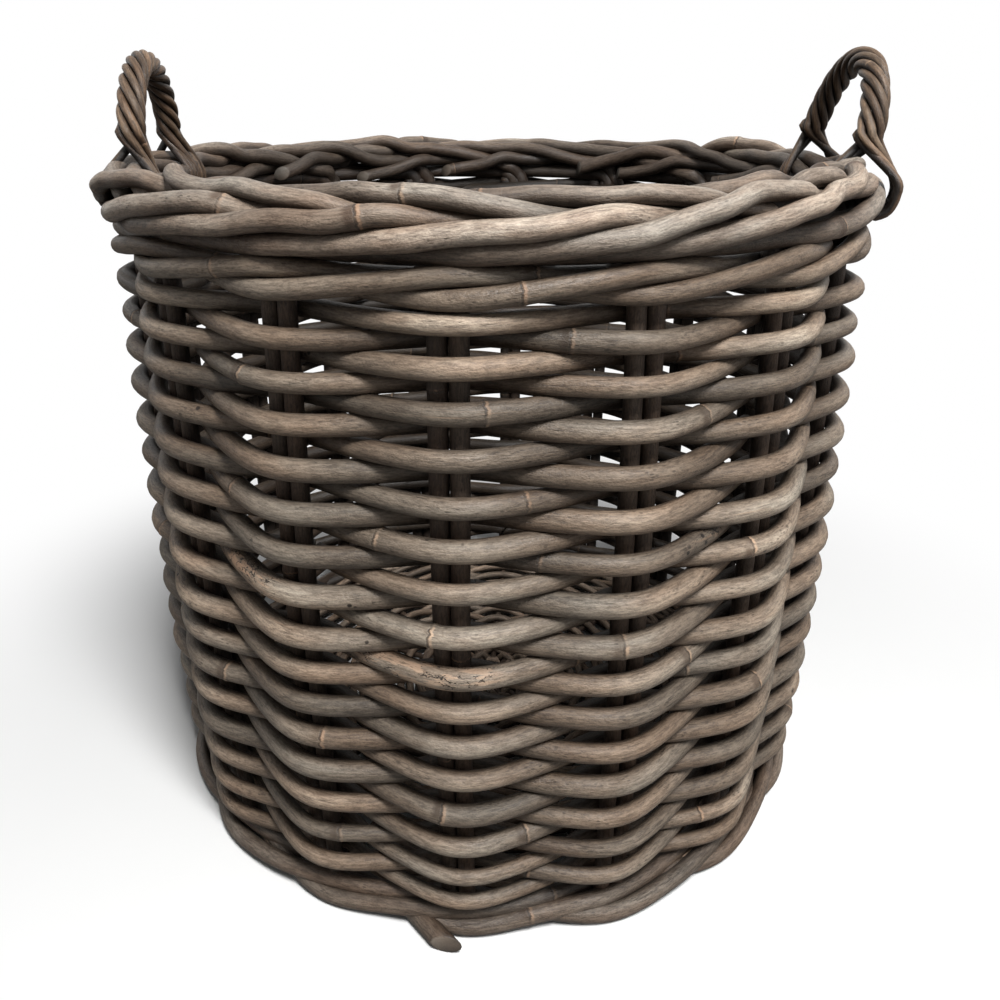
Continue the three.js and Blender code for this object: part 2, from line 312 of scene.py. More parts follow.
    def _painted_shade(
        self, look: RodLook, out: np.ndarray, outward: np.ndarray, painted_light_level: np.ndarray
    ) -> np.ndarray:
        """Works out the painted shade at each point of a rod, which stands in for the shade of its neighbours
        and for light that falls from above and from outside.

        A point is painted lit by a + b (n . o) + c n_z, where n is the way it faces, o the way out of the
        wall, rope or roll, and a, b and c the mesh's three shares of painted light. What isn't painted lit is
        painted darker as strongly as the rod's look says.

        Args:
            look: gives the strength of the painted shade.
            out: direction in which each surface point faces.
            outward: outward direction at each station.
            painted_light_level: painted light level of each station, from 0 to 1.

        Returns:
            A value from 0 to 1 for each station and turn.
        """
        facing = (out * outward[:, None]).sum(-1)
        painted_lit = np.clip(self.painted_light_any + self.painted_light_outwards * facing + self.painted_light_upwards * out[..., 2], 0, 1)
        return painted_light_level[:, None] * np.clip(1 - look.shade_strength * (1 - painted_lit), 0, 1)

    def _store(self, name: str, rows: np.ndarray) -> None:
        """Keeps a value for each point of a rod: its rings in order, then the middles of both ends."""
        flat = rows.reshape(-1, *rows.shape[2:])
        self.values.setdefault(name, []).append(np.concatenate([flat, rows[[0, -1]].mean(1)]))

    def _connect(self, rows: int) -> None:
        """Adds the quads between the rings of the newest rod, and the fans that close its two ends.

        Args:
            rows: how many rings the rod has.
        """
        k = np.arange(self.sides)
        beyond = (k + 1) % self.sides
        start = self.count + self.sides * np.arange(rows - 1)[:, None]
        here, beside = start + k, start + beyond
        self.faces.append(np.stack([here, beside, beside + self.sides, here + self.sides], -1).reshape(-1, 4))
        tip = self.count + rows * self.sides
        last = tip - self.sides
        near = np.stack([np.full(self.sides, tip), self.count + beyond, self.count + k], -1)
        far = np.stack([np.full(self.sides, tip + 1), last + k, last + beyond], -1)
        self.fans.append(np.concatenate([near, far]))
        self.count = tip + 2

    def piece(self, name: str, slot: str, finishes: Finishes, *nodes: str) -> bpy.types.Object:
        """Turns the gathered rods into a mesh object that stands for nodes of the frame.

        Args:
            name: name of the piece.
            slot: the record's material slot, whose finish the rods get.
            finishes: the materials by slot.
            nodes: the nodes that the piece replaces.

        Returns:
            The new object, linked to the scene.
        """
        points = np.concatenate(self.values.pop("position"))
        quads = np.concatenate(self.faces)
        fans = np.concatenate(self.fans)
        mesh = bpy.data.meshes.new(name)
        mesh.vertices.add(len(points))
        mesh.vertices.foreach_set("co", points.ravel())
        mesh.loops.add(quads.size + fans.size)
        mesh.loops.foreach_set("vertex_index", np.concatenate([quads.ravel(), fans.ravel()]))
        mesh.polygons.add(len(quads) + len(fans))
        starts = np.concatenate([4 * np.arange(len(quads)), quads.size + 3 * np.arange(len(fans))])
        mesh.polygons.foreach_set("loop_start", starts)
        mesh.update(calc_edges=True)
        mesh.polygons.foreach_set("use_smooth", np.ones(len(starts), bool))
        for label, parts in self.values.items():
            data = np.concatenate(parts).astype(np.float32)
            kind, key = ("FLOAT_VECTOR", "vector") if data.ndim == 2 else ("FLOAT", "value")
            mesh.attributes.new(label, kind, "POINT").data.foreach_set(key, data.ravel())
        mesh.materials.append(finishes[slot])
        piece = bpy.data.objects.new(name, mesh)
        bpy.context.scene.collection.objects.link(piece)
        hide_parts(*nodes)
        return piece


# Sockets of a Mix node that mixes colours
MIX_SHARE, MIX_FIRST, MIX_SECOND, MIX_RESULT = 0, 6, 7, 2


class NodeSheet:
    """A node tree filled in by short calls, in which a value is a number or another node's socket."""

    def __init__(self, tree: bpy.types.NodeTree) -> None:
        """Keeps the tree that the nodes go into."""
        self.tree = tree

    def node(self, kind: str, inputs: dict | None = None, **settings: object) -> bpy.types.Node:
        """Adds a node.

        Args:
            kind: the node's type, without its ShaderNode prefix.
            inputs: values by the input's name or number.
            settings: the node's own properties.

        Returns:
            The new node.
        """
        made = self.tree.nodes.new("ShaderNode" + kind)
        for name, value in settings.items():
            setattr(made, name, value)
        for name, value in (inputs or {}).items():
            self.feed(value, made.inputs[name])
        return made

    def feed(self, value: object, socket: Socket) -> None:
        """Links a socket to another, or sets it to a plain value.

        Args:
            value: the socket to link from, or the value.
            socket: the input that takes it.
        """
        if isinstance(value, Socket):
            self.tree.links.new(value, socket)
        else:
            socket.default_value = value

    def math(self, operation: str, *values: object, clamp: bool = False) -> Socket:
        """Works out one sum of up to three values and gives its socket."""
        return self.node("Math", dict(enumerate(values)), operation=operation, use_clamp=clamp).outputs[0]

    def times(self, first: object, second: object, clamp: bool = False) -> Socket:
        """Multiplies two values and gives the socket."""
        return self.math("MULTIPLY", first, second, clamp=clamp)

    def less(self, first: object, second: object) -> Socket:
        """Subtracts the second value from the first and gives the socket."""
        return self.math("SUBTRACT", first, second)

    def line(self, value: object, gain: float, start: object) -> Socket:
        """Works out value times gain plus start and gives its socket."""
        return self.math("MULTIPLY_ADD", value, gain, start)

    def ramp(self, value: object, low: float, high: float) -> Socket:
        """Spreads the stretch from low to high over 0 to 1, smoothly, and gives the socket."""
        stretch = {0: value, 1: low, 2: high, 3: 0.0, 4: 1.0}
        return self.node("MapRange", stretch, interpolation_type="SMOOTHSTEP").outputs[0]

    def near(self, value: object, low: float, high: float) -> Socket:
        """Gives 1 where the value is under low, 0 where it is over high, and a smooth change between."""
        return self.less(1.0, self.ramp(value, low, high))

    def mix(self, share: object, first: object, second: object, blend: str = "MIX") -> Socket:
        """Mixes two colours and gives the socket."""
        colours = {MIX_SHARE: share, MIX_FIRST: first, MIX_SECOND: second}
        return self.node("Mix", colours, data_type="RGBA", blend_type=blend).outputs[MIX_RESULT]

    def stretched(self, vector: object, scale: Place) -> Socket:
        """Scales a place by one number for each axis and gives its socket."""
        return self.node("VectorMath", {0: vector, 1: scale}, operation="MULTIPLY").outputs[0]

    def noise(self, vector: object, scale: Place, detail: float) -> Socket:
        """Reads a noise pattern with a scale for each axis and gives its socket."""
        inputs = {"Vector": self.stretched(vector, scale), "Scale": 1.0, "Detail": detail, "Roughness": 0.6}
        return self.node("TexNoise", inputs).outputs[0]

    def spots(
        self, vector: object, scale: Place, detail: float, low: float, high: float
    ) -> Socket:
        """Gives 1 where the noise is over high, 0 where it is under low, and a smooth change between."""
        return self.ramp(self.noise(vector, scale, detail), low, high)

    def seams(
        self, vector: object, scale: Place, detail: float, low: float, high: float
    ) -> Socket:
        """Gives 1 along the lines where the noise crosses its middle, and fades to 0 beside them."""
        away = self.math("ABSOLUTE", self.less(self.noise(vector, scale, detail), 0.5))
        return self.near(away, low, high)

    def dots(
        self, vector: object, stretch: Place, scale: float, low: float, high: float
    ) -> Socket:
        """Gives 1 in a round dot within each random cell and 0 outside the dots."""
        inputs = {"Vector": self.stretched(vector, stretch), "Scale": scale, "Randomness": 1.0}
        return self.near(self.node("TexVoronoi", inputs).outputs[0], low, high)


def cleared_sheet(owner: bpy.types.Material | bpy.types.World) -> NodeSheet:
    """Empties the nodes of a new material or world.

    Args:
        owner: the material or world.

    Returns:
        Its sheet to fill in.
    """
    owner.use_nodes = True
    owner.node_tree.nodes.clear()
    return NodeSheet(owner.node_tree)


def new_group(name: str, inputs: dict[str, str], outputs: tuple[str, ...]) -> tuple[NodeSheet, dict, dict]:
    """Starts a shader node group.

    Args:
        name: the group's name.
        inputs: each input's socket kind by its name.
        outputs: names of the outputs, which are plain values.

    Returns:
        The sheet to fill in, the group's inputs as sockets to read, and its outputs as sockets to feed.
    """
    tree = bpy.data.node_groups.new(name, "ShaderNodeTree")
    for label, kind in inputs.items():
        tree.interface.new_socket(name=label, in_out="INPUT", socket_type="NodeSocket" + kind)
    for label in outputs:
        tree.interface.new_socket(name=label, in_out="OUTPUT", socket_type="NodeSocketFloat")
    start = tree.nodes.new("NodeGroupInput")
    end = tree.nodes.new("NodeGroupOutput")
    return NodeSheet(tree), {n: start.outputs[n] for n in inputs}, {n: end.inputs[n] for n in outputs}


PLAIN_GRAIN = {
    "Fibre": ((170, 1000, 1000), 5.0, 0.36, 0.64),
    "Pit": ((900, 1700, 1700), 2.0, 0.34, 0.66),
    "Streak": ((24, 260, 260), 3.0, 0.36, 0.66),
    "Patch": ((26, 95, 95), 4.0, 0.36, 0.64),
    "Cloud": ((9, 40, 40), 2.0, 0.34, 0.66),
    "Warm": ((6, 30, 30), 1.0, 0.36, 0.64),
}


def grain_group() -> bpy.types.NodeTree:
    """Makes the grain of a rattan skin.

    Fibre is the fine grain along the rod, Pit the small pits all over it, Streak the broad stripes along
    it, Patch the cloudy wash, Cloud the slow change of tone, Warm the slow change of hue, Crease the thin
    dark cracks along the rod, Speck the clusters of small dark spots, Bare the places where the skin has
    come off, and Worm the beetle holes, with ragged splits where the rod is worn. Bare lies mostly there
    too. A pattern is given by its scale along and across the rod, its detail, and the two levels of noise
    that it fades between.

    Returns:
        The group, with its outputs from 0 to 1.
    """
    labels = (*PLAIN_GRAIN, "Crease", "Speck", "Bare", "Worm")
    sheet, given, result = new_group("rod_grain", {"Space": "Vector", "Worn": "Float"}, labels)
    space, worn = given["Space"], given["Worn"]
    for label, pattern in PLAIN_GRAIN.items():
        sheet.feed(sheet.spots(space, *pattern), result[label])
    cracks = sheet.seams(space, (26, 380, 380), 3.0, 0.003, 0.015)
    cracked = sheet.spots(space, (13, 90, 90), 2.0, 0.48, 0.64)
    sheet.feed(sheet.times(cracks, cracked), result["Crease"])
    specks = sheet.dots(space, (0.42, 1.0, 1.0), 680.0, 0.16, 0.4)
    clusters = sheet.spots(space, (34, 120, 120), 3.0, 0.5, 0.68)
    sheet.feed(sheet.times(specks, clusters), result["Speck"])
    stripped = sheet.spots(space, (8, 260, 260), 3.0, 0.69, 0.78)
    torn = sheet.times(worn, sheet.spots(space, (60, 330, 330), 5.0, 0.5, 0.56))
    sheet.feed(sheet.math("MAXIMUM", stripped, torn), result["Bare"])
    holes = sheet.dots(space, (1.0, 1.0, 1.0), 210.0, 0.2, 0.3)
    bored = sheet.times(holes, sheet.spots(space, (11, 60, 60), 2.0, 0.66, 0.7))
    eaten = sheet.times(worn, sheet.spots(space, (60, 150, 150), 3.0, 0.46, 0.5))
    splits = sheet.times(sheet.seams(space, (150, 300, 300), 3.0, 0.016, 0.03), eaten)
    sheet.feed(sheet.math("MAXIMUM", bored, splits), result["Worm"])
    return sheet.tree


def ring_group() -> bpy.types.NodeTree:
    """Makes the node rings of a rattan rod, which lie where the phase is a whole number.

    Each mark has its place beside the node, the distances where it is full and gone, and how strong it is
    there.

    Returns:
        The group, with outputs Line (the dark groove), Band (the tan scar beside it, which has gaps) and
        Smudge (a dark stain on its other side).
    """
    kinds = {"Phase": "Float", "Space": "Vector", "Gap": "Float"}
    sheet, given, result = new_group("rod_rings", kinds, ("Line", "Band", "Smudge"))
    space = given["Space"]
    part = sheet.less(sheet.math("FRACT", sheet.math("ADD", given["Phase"], 0.5)), 0.5)
    ragged = sheet.less(sheet.noise(space, (60, 420, 420), 3.0), 0.5)
    away = sheet.line(ragged, 0.003, sheet.times(part, given["Gap"]))
    here = sheet.spots(space, (90, 190, 190), 2.0, 0.4, 0.56)
    stained = sheet.spots(space, (30, 90, 90), 2.0, 0.4, 0.56)
    marks = {
        "Line": (0.0, 0.0003, 0.0008, sheet.line(here, 0.5, 0.5)),
        "Band": (0.0010, 0.0004, 0.0013, sheet.line(here, 0.85, 0.15)),
        "Smudge": (-0.0022, 0.0006, 0.004, stained),
    }
    for label, (place, full, gone, strength) in marks.items():
        beside = sheet.math("ABSOLUTE", sheet.less(away, place))
        sheet.feed(sheet.times(sheet.near(beside, full, gone), strength), result[label])
    return sheet.tree


def opaque(colour: Colour, level: float = 1.0) -> tuple[float, float, float, float]:
    """Gives a colour at a level of brightness, in the form that a colour socket takes."""
    return (*(level * part for part in colour), 1.0)


@dataclass(frozen=True)
class RattanFinish:
    """A rattan skin: deep and pale tones of cane under a grey wash, and tan where the skin is off.

    A Line is the gain and the start of the straight line that turns a pattern or the rod's tone into a
    share. The heights are shares of the relief's depth.
    """

    name: str
    slot: str
    deep: Colour
    skin: Colour
    wash: Colour
    peel: Colour = (0.47, 0.32, 0.21)
    cut: Colour = (0.42, 0.36, 0.29)
    dark_level: float = 0.25
    wash_levels: Span = (0.5, 1.06)
    wash_share: float = 0.75
    peel_share: float = 0.5
    speck_share: float = 0.6
    worm_share: float = 0.0
    crease_share: float = 0.6
    ring_share: float = 0.75
    smudge_share: float = 0.8
    fibre_share: float = 0.7
    patches: Line = (0.6, 0.3)
    streaks: Line = (0.36, 0.7)
    washed_tones: Line = (0.6, 0.65)
    tones: Line = (0.7, 0.65)
    clouds: Line = (0.45, 0.78)
    hues: tuple[Line, Line, Line] = ((0.07, 0.98), (-0.05, 1.01), (-0.14, 1.06))
    # Share of the brightness that is left where the painted shade is deepest.
    shaded: float = 0.12
    roughness: float = 0.52
    streak_roughness: float = 0.16
    gloss: float = 0.35
    relief: float = 0.5
    relief_depth: float = 0.0005
    heights: tuple[tuple[str, float], ...] = (
        ("Pit", 0.4), ("Streak", 0.3), ("Line", -0.9), ("Crease", -0.7), ("Speck", -0.4))
    node_gap: float = 0.3

    def material(self, grain: bpy.types.NodeTree, rings: bpy.types.NodeTree) -> bpy.types.Material:
        """Builds the finish as a material.

        Args:
            grain: the shared grain group.
            rings: the shared node ring group.

        Returns:
            The material.
        """
        material = bpy.data.materials.new(self.name)
        sheet = cleared_sheet(material)
        space = sheet.node("Attribute", attribute_name="rod_space").outputs["Vector"]
        rod = {
            name: sheet.node("Attribute", attribute_name="rod_" + name).outputs["Fac"]
            for name in ("ring", "tone", "shade", "cut", "worn")
        }
        skin = sheet.node("Group", node_tree=grain, inputs={"Space": space, "Worn": rod["worn"]})
        ringed = {"Phase": rod["ring"], "Space": space, "Gap": self.node_gap}
        ring = sheet.node("Group", node_tree=rings, inputs=ringed)
        marks = {socket.name: socket for group in (skin, ring) for socket in group.outputs}
        height = 0.0
        for label, share in self.heights:
            height = sheet.line(marks[label], share, height)
        bump = sheet.node("Bump", {"Strength": self.relief, "Distance": self.relief_depth, "Height": height})
        rough = sheet.line(marks["Streak"], self.streak_roughness, self.roughness - self.streak_roughness / 2)
        shader = sheet.node("BsdfPrincipled", {
            "Base Color": self._colour(sheet, marks, rod),
            "Roughness": rough,
            "Normal": bump.outputs[0],
            "Specular IOR Level": self.gloss,
        })
        sheet.node("OutputMaterial", {0: shader.outputs[0]})
        return material

    def _colour(self, sheet: NodeSheet, marks: dict, rod: dict) -> Socket:
        """Mixes the skin's colour.

        It starts between deep and skin by the fibres and takes wash where patches and streaks meet, less
        where the painted shade lies. Then come peel, creases, node rings, specks, worm holes and cut faces.
        It is scaled by the rod's tone, the clouds, the hue and the painted shade.

        Args:
            sheet: the material's sheet.
            marks: the patterns of the two groups by name.
            rod: the rod's own values by name.

        Returns:
            The colour's socket.
        """
        under = sheet.line(marks["Fibre"], self.fibre_share, 0.0)
        under = sheet.line(marks["Pit"], 1 - self.fibre_share, under)
        colour = sheet.mix(under, opaque(self.deep), opaque(self.skin))
        patches = sheet.line(marks["Patch"], *self.patches)
        washed = sheet.times(patches, sheet.line(marks["Streak"], *self.streaks))
        washed = sheet.times(washed, sheet.line(rod["tone"], *self.washed_tones))
        # Painted shade: the shaded sides take less wash.
        washed = sheet.times(washed, sheet.times(rod["shade"], self.wash_share), clamp=True)
        wash = sheet.mix(under, *(opaque(self.wash, level) for level in self.wash_levels))
        colour = sheet.mix(washed, colour, wash)
        dark = opaque(self.deep, self.dark_level)
        for label, share, layer in (
            ("Bare", self.peel_share, opaque(self.peel)),
            ("Crease", self.crease_share, dark),
            ("Smudge", self.smudge_share, opaque(self.deep)),
            ("Band", self.ring_share, opaque(self.peel)),
            ("Line", self.ring_share, dark),
            ("Speck", self.speck_share, dark),
            ("Worm", self.worm_share, dark),
        ):
            colour = sheet.mix(sheet.times(marks[label], share), colour, layer)
        colour = sheet.mix(rod["cut"], colour, opaque(self.cut))
        level = sheet.times(sheet.line(rod["tone"], *self.tones), sheet.line(marks["Cloud"], *self.clouds))
        # Painted shade darkens the colour.
        level = sheet.times(level, sheet.line(rod["shade"], 1 - self.shaded, self.shaded))
        parts = [sheet.times(level, sheet.line(marks["Warm"], *hue)) for hue in self.hues]
        tint = sheet.node("CombineColor", dict(enumerate(parts))).outputs[0]
        return sheet.mix(1.0, colour, tint, "MULTIPLY")


@dataclass
class Wall:
    """Shape of the basket's wall, which every sub-assembly shares."""

    pairs: int = 16
    pair_turn_deg: float = -4.2
    foot_circle: float = 0.191
    top_circle: float = 0.2054
    bulge: float = 0.0035
    border_circle: float = 0.210
    border_height: float = 0.366

    def __post_init__(self) -> None:
        """Takes the height of the stakes from the frame."""
        low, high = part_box("stake_pair_01")
        self.low = low.z
        self.high = high.z

    def share(self, height: np.ndarray) -> np.ndarray:
        """How far up the stakes a height lies, from 0 at their feet to 1 at their tops."""
        return (height - self.low) / (self.high - self.low)

    def circle(self, height: np.ndarray) -> np.ndarray:
        """Radius of the stake circle: it widens evenly and bulges by 4 t (1 - t) of the bulge at share t."""
        t = self.share(height)
        return self.foot_circle + (self.top_circle - self.foot_circle) * t + self.bulge * 4 * t * (1 - t)

    def pair_angle(self, pair: np.ndarray) -> np.ndarray:
        """Angle of a stake pair, where pair 0 stands at the front."""
        return np.radians(self.pair_turn_deg) + TURN * pair / self.pairs


@dataclass
class Stakes:
    """Upright rods that stand in pairs, whose feet and tops are shifted a little along the wall."""

    wall: Wall
    rod_radius: float = 0.00441
    to_middle: float = 0.0045
    foot_below: float = 0.004
    top_below: float = 0.001
    stagger: float = 0.00048
    stagger_spacing: float = 0.09
    points: int = 60
    # Painted shade for the stakes, which lie in the recess behind the weavers.
    painted_light_level: float = 0.62
    node_gap: float = 0.19
    foot_shifts_deg: tuple[float, ...] = (-0.9, 0.9, 0.3, -0.4)
    top_shifts_deg: tuple[float, ...] = (-0.8, 0.0, -0.4, 0.5)
    tone_range: Span = (0.25, 0.75)
    first_seed: int = 400

    def build(self, finishes: Finishes) -> Pieces:
        """Makes one piece for each pair.

        A stake's centre runs up the stake circle, `to_middle` to one side of the pair's middle, and wanders
        by up to `stagger` along the wall.

        Args:
            finishes: the materials by slot.

        Returns:
            The pieces.
        """
        height = np.linspace(self.wall.low - self.foot_below, self.wall.high - self.top_below, self.points)
        radius = self.wall.circle(height)
        pieces = []
        for pair in range(self.wall.pairs):
            mesh = RodMesh(sides=12, station_gap=0.008)
            foot = self.foot_shifts_deg[pair % len(self.foot_shifts_deg)]
            top = self.top_shifts_deg[pair % len(self.top_shifts_deg)]
            lean = np.radians(foot + (top - foot) * self.wall.share(height))
            for side in (-1, 1):
                seed = self.first_seed + 2 * pair + side
                rng = np.random.default_rng(seed)
                shift = side * self.to_middle + self.stagger * wander(height, self.stagger_spacing, rng)
                angle = self.wall.pair_angle(pair) + lean + shift / radius
                look = RodLook(
                    seed, tone=rng.uniform(*self.tone_range), node_gap=self.node_gap,
                    node_shift=rng.uniform(0, self.node_gap))
                # Painted shade: the whole stake is painted darker.
                shade = np.full(len(height), self.painted_light_level)
                outward = on_circle(1.0, angle, 0.0)
                mesh.add(on_circle(radius, angle, height), self.rod_radius, look, shade, reference=outward)
            node = f"stake_pair_{pair + 1:02d}"
            pieces.append(mesh.piece(f"stakes_{pair + 1:02d}", "stake_rattan", finishes, node))
        return pieces


@dataclass
class WeaverRows:
    """Rows of single rods that pass in front of one stake pair and behind the next.

    Each settle_lift raises the rows at one of the settle_shares of the way up, and the sizes scale the rods
    at the size_shares. Each worn stretch has its row and its two angles.
    """

    wall: Wall
    rows: int = 31
    rod_radius: float = 0.0051
    reach: float = 0.0096
    bend: float = 0.065
    points: int = 640
    seam_stagger: int = 3
    cut_gap: float = 0.0012
    tuck: float = 0.0025
    tuck_width: float = 0.012
    drift: float = 0.0004
    drift_spacing: float = 0.12
    sag: float = 0.0016
    sag_rows: int = 5
    sag_places: int = 14
    ripple: float = 0.0005
    ripple_spacing: float = 0.07
    dip: float = 0.0011
    node_gap: float = 0.3
    tone_range: Span = (0.05, 0.95)
    taper_range: Span = (-0.1, 0.1)
    size_range: Span = (0.93, 1.07)
    # Painted shade: the passes behind the stakes are painted darker than those in front.
    painted_light_middle: float = 0.6
    painted_light_swing: float = 0.4
    sag_seed: int = 7
    first_path_seed: int = 900
    first_look_seed: int = 300
    first_rod_seed: int = 30
    settle_shares: tuple[float, ...] = (0.0, 0.07, 0.2, 0.33, 0.47, 0.6, 0.73, 0.83, 0.93, 1.0)
    settle_lifts: tuple[float, ...] = (
        0.0068, 0.004, 0.0048, 0.005, 0.0026, 0.0055, 0.0058, 0.0076, 0.0054, 0.0032)
    size_shares: tuple[float, ...] = (0.0, 0.08, 0.15, 0.3, 0.6, 0.9, 1.0)
    sizes: tuple[float, ...] = (0.76, 0.77, 0.92, 1.0, 1.05, 0.96, 0.93)
    worn_rows: tuple[tuple[int, float, float], ...] = ((14, -19.0, 9.0), (17, -41.0, -24.0), (19, 36.0, 46.0))

    def height(self, row: int) -> float:
        """Height of a row: its node's in the frame, lifted where the photographed rows lie less close."""
        lift = np.interp(row / (self.rows - 1), self.settle_shares, self.settle_lifts)
        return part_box(f"weaver_row_{row + 1:02d}")[1].z - self.rod_radius + lift

    def seam(self, row: int) -> float:
        """Angle where a row starts and ends, behind a stake pair."""
        return self.wall.pair_angle(row + 1 + 2 * self.seam_stagger * row)

    def path(self, row: int, sags: np.ndarray) -> tuple[np.ndarray, np.ndarray]:
        """Draws one row, from behind a stake pair once round to the same place.

        The rod swings out and in as (cos(a) + b cos(3 a)) / (1 + b), where a runs through half a turn from
        one pair to the next and b is the bend, which makes it straighter between the pairs. Its height
        wanders with a table of sags that neighbouring rows share. The rows of the lowest quarter dip where
        they pass in front, and those of the highest don't. Both ends are tucked in by t exp(-(d / w)^2) at
        distance d from the seam.

        Args:
            row: number of the row, from the bottom.
            sags: table of values between -1 and 1, by level and by place round the basket.

        Returns:
            The path, and its painted light level at each point, lowest where the rod passes behind the stakes
            and highest in front.
        """
        rng = np.random.default_rng(self.first_path_seed + row)
        height = self.height(row)
        circle = self.wall.circle(height)
        gap = self.cut_gap / circle
        along = np.linspace(gap, TURN - gap, self.points)
        angle = self.seam(row) + along
        beat = self.wall.pairs * along / 2
        swing = -(np.cos(beat) + self.bend * np.cos(3 * beat)) / (1 + self.bend)
        to_seam = np.minimum(along, TURN - along) * circle
        radius = circle + self.reach * swing + self.drift * wander(along * circle, self.drift_spacing, rng)
        radius = radius - self.tuck * np.exp(-((to_seam / self.tuck_width) ** 2))
        level = row / self.sag_rows
        below = int(level)
        lane = sags[below] * (1 - level + below) + sags[below + 1] * (level - below)
        wave = between(lane, (angle % TURN) / TURN * len(lane))
        lift = self.sag * wave + self.ripple * wander(along * circle, self.ripple_spacing, rng)
        low = np.clip(1.5 - 2 * row / (self.rows - 1), 0, 1)
        path = on_circle(radius, angle, height + lift - self.dip * low * swing)
        return path, self.painted_light_middle + self.painted_light_swing * swing

    def worn_part(self, row: int) -> Span:
        """Finds where a row is worn and eaten.

        Args:
            row: number of the row.

        Returns:
            The distances along the row where that starts and ends, which are both 0 on a whole row.
        """
        for worn_row, first_deg, last_deg in self.worn_rows:
            if worn_row == row:
                turn = (np.radians([first_deg, last_deg]) - self.seam(row)) % TURN
                first, last = turn * self.wall.circle(self.height(row))
                return first, last
        return 0.0, 0.0

    def build(self, finishes: Finishes) -> Pieces:
        """Makes one piece for each row.

        Args:
            finishes: the materials by slot.

        Returns:
            The pieces.
        """
        levels = self.rows // self.sag_rows + 3
        sags = np.random.default_rng(self.sag_seed).uniform(-1, 1, (levels, self.sag_places))
        pieces = []
        for row in range(self.rows):
            rng = np.random.default_rng(self.first_look_seed + row)
            path, shade = self.path(row, sags)
            look = RodLook(
                self.first_rod_seed + row, tone=rng.uniform(*self.tone_range), node_gap=self.node_gap,
                node_shift=rng.uniform(0, self.node_gap), taper=rng.uniform(*self.taper_range),
                unevenness=0.04, ends=(End.SLANT, End.SLANT), worn=self.worn_part(row))
            radius = self.rod_radius * np.interp(row / (self.rows - 1), self.size_shares, self.sizes)
            mesh = RodMesh()
            mesh.add(path, radius * rng.uniform(*self.size_range), look, shade)
            name = f"row_{row + 1:02d}"
            pieces.append(mesh.piece(name, "weaver_rattan", finishes, "weaver_" + name))
        return pieces


@dataclass
class Wale:
    """Three rods that twist over each other round the stakes, each in front of two pairs and behind one.

    The outs and rises are shares of reach and rise at one pair, the next and the third. The swells push a
    rod outwards between its two front pairs.
    """

    wall: Wall
    name: str
    nodes: tuple[str, str, str]
    slot: str
    rod_radius: float
    reach: float
    middle: float
    rise: float
    outs: tuple[float, float, float] = (-1.0, 1.0, 1.0)
    rises: tuple[float, float, float] = (0.0, -1.0, 1.0)
    swells: tuple[float, ...] = (0.0012,)
    tones: tuple[float, float, float] = (0.08, 0.23, 0.38)
    cut_gap: float = 0.0014
    path_step: float = 0.003
    node_gap: float = 0.3
    node_shifts: tuple[float, float, float] = (0.02, 0.11, 0.2)
    first_seed: int = 60

    def build(self, finishes: Finishes) -> Pieces:
        """Makes the wale's rods.

        Each rod goes through knots at the stake pairs and halfway between them. The rods' lengths add up so
        that the three of them go round three times.

        Args:
            finishes: the materials by slot.

        Returns:
            The pieces.
        """
        pairs = self.wall.pairs
        short = pairs - pairs % 3
        circle = self.wall.circle(self.middle)
        pieces = []
        for rod, length in enumerate((short, short, 3 * pairs - 2 * short)):
            first = rod * short
            step = np.arange(2 * length + 1) / 2
            whole = np.arange(length + 1)
            out = np.interp(step, whole, np.array(self.outs)[whole % 3])
            rise = np.interp(step, whole, np.array(self.rises)[whole % 3])
            pair = (first + np.floor(step).astype(int)) % pairs
            swell = np.array(self.swells)[pair % len(self.swells)]
            in_front = np.select([step % 3 == 1.5, step % 3 == 1.0], [1.0, 0.5], 0.0)
            angle = self.wall.pair_angle(first + step)
            angle[0] += self.cut_gap / circle
            angle[-1] -= self.cut_gap / circle
            radius = circle + self.reach * out + swell * in_front
            knots = on_circle(radius, angle, self.middle + self.rise * rise)
            path = smooth_path(knots, self.path_step)
            # Painted shade: the rod is painted darker where it passes inside than where it passes outside.
            shade = np.clip((np.hypot(path[:, 0], path[:, 1]) - circle) / self.reach, -1, 1) / 2 + 0.5
            look = RodLook(
                self.first_seed + rod, tone=self.tones[rod], node_gap=self.node_gap,
                node_shift=self.node_shifts[rod], unevenness=0.05, ends=(End.SLANT, End.SLANT))
            mesh = RodMesh()
            mesh.add(path, self.rod_radius, look, shade)
            pieces.append(mesh.piece(f"{self.name}_{rod + 1}", self.slot, finishes, self.nodes[rod]))
        return pieces


@dataclass(frozen=True)
class Course:
    """A border rod's turn round the roll's centre and its distance from the centre as it runs on."""

    run_deg: tuple[float, ...]
    turn_deg: tuple[float, ...]
    offset: tuple[float, ...]


DIVING = Course(
    (-6, 0, 14, 28, 42, 54, 64, 74, 86),
    (-100, -88, -50, -4, 26, 62, 150, 195, 212),
    (0.0092, 0.0092, 0.0096, 0.0098, 0.0092, 0.0062, 0.0052, 0.0115, 0.0215))
CLIMBING = Course(
    (-6, 0, 8, 20, 27, 36, 46, 58, 70, 82),
    (-100, -88, -66, -14, 16, 66, 92, 112, 160, 205),
    (0.0092, 0.0092, 0.0095, 0.0098, 0.0100, 0.0102, 0.0100, 0.0096, 0.0110, 0.0200))
CROWNING = Course(
    (0, 7, 18, 30, 46, 56, 64),
    (230, 178, 124, 98, 84, 66, 50),
    (0.0090, 0.0098, 0.0100, 0.0100, 0.0096, 0.0074, 0.0048))
CUT_SHORT = Course(
    (0, 7, 18, 30, 46, 61),
    (230, 180, 140, 120, 114, 112),
    (0.0090, 0.0098, 0.0104, 0.0106, 0.0108, 0.0110))


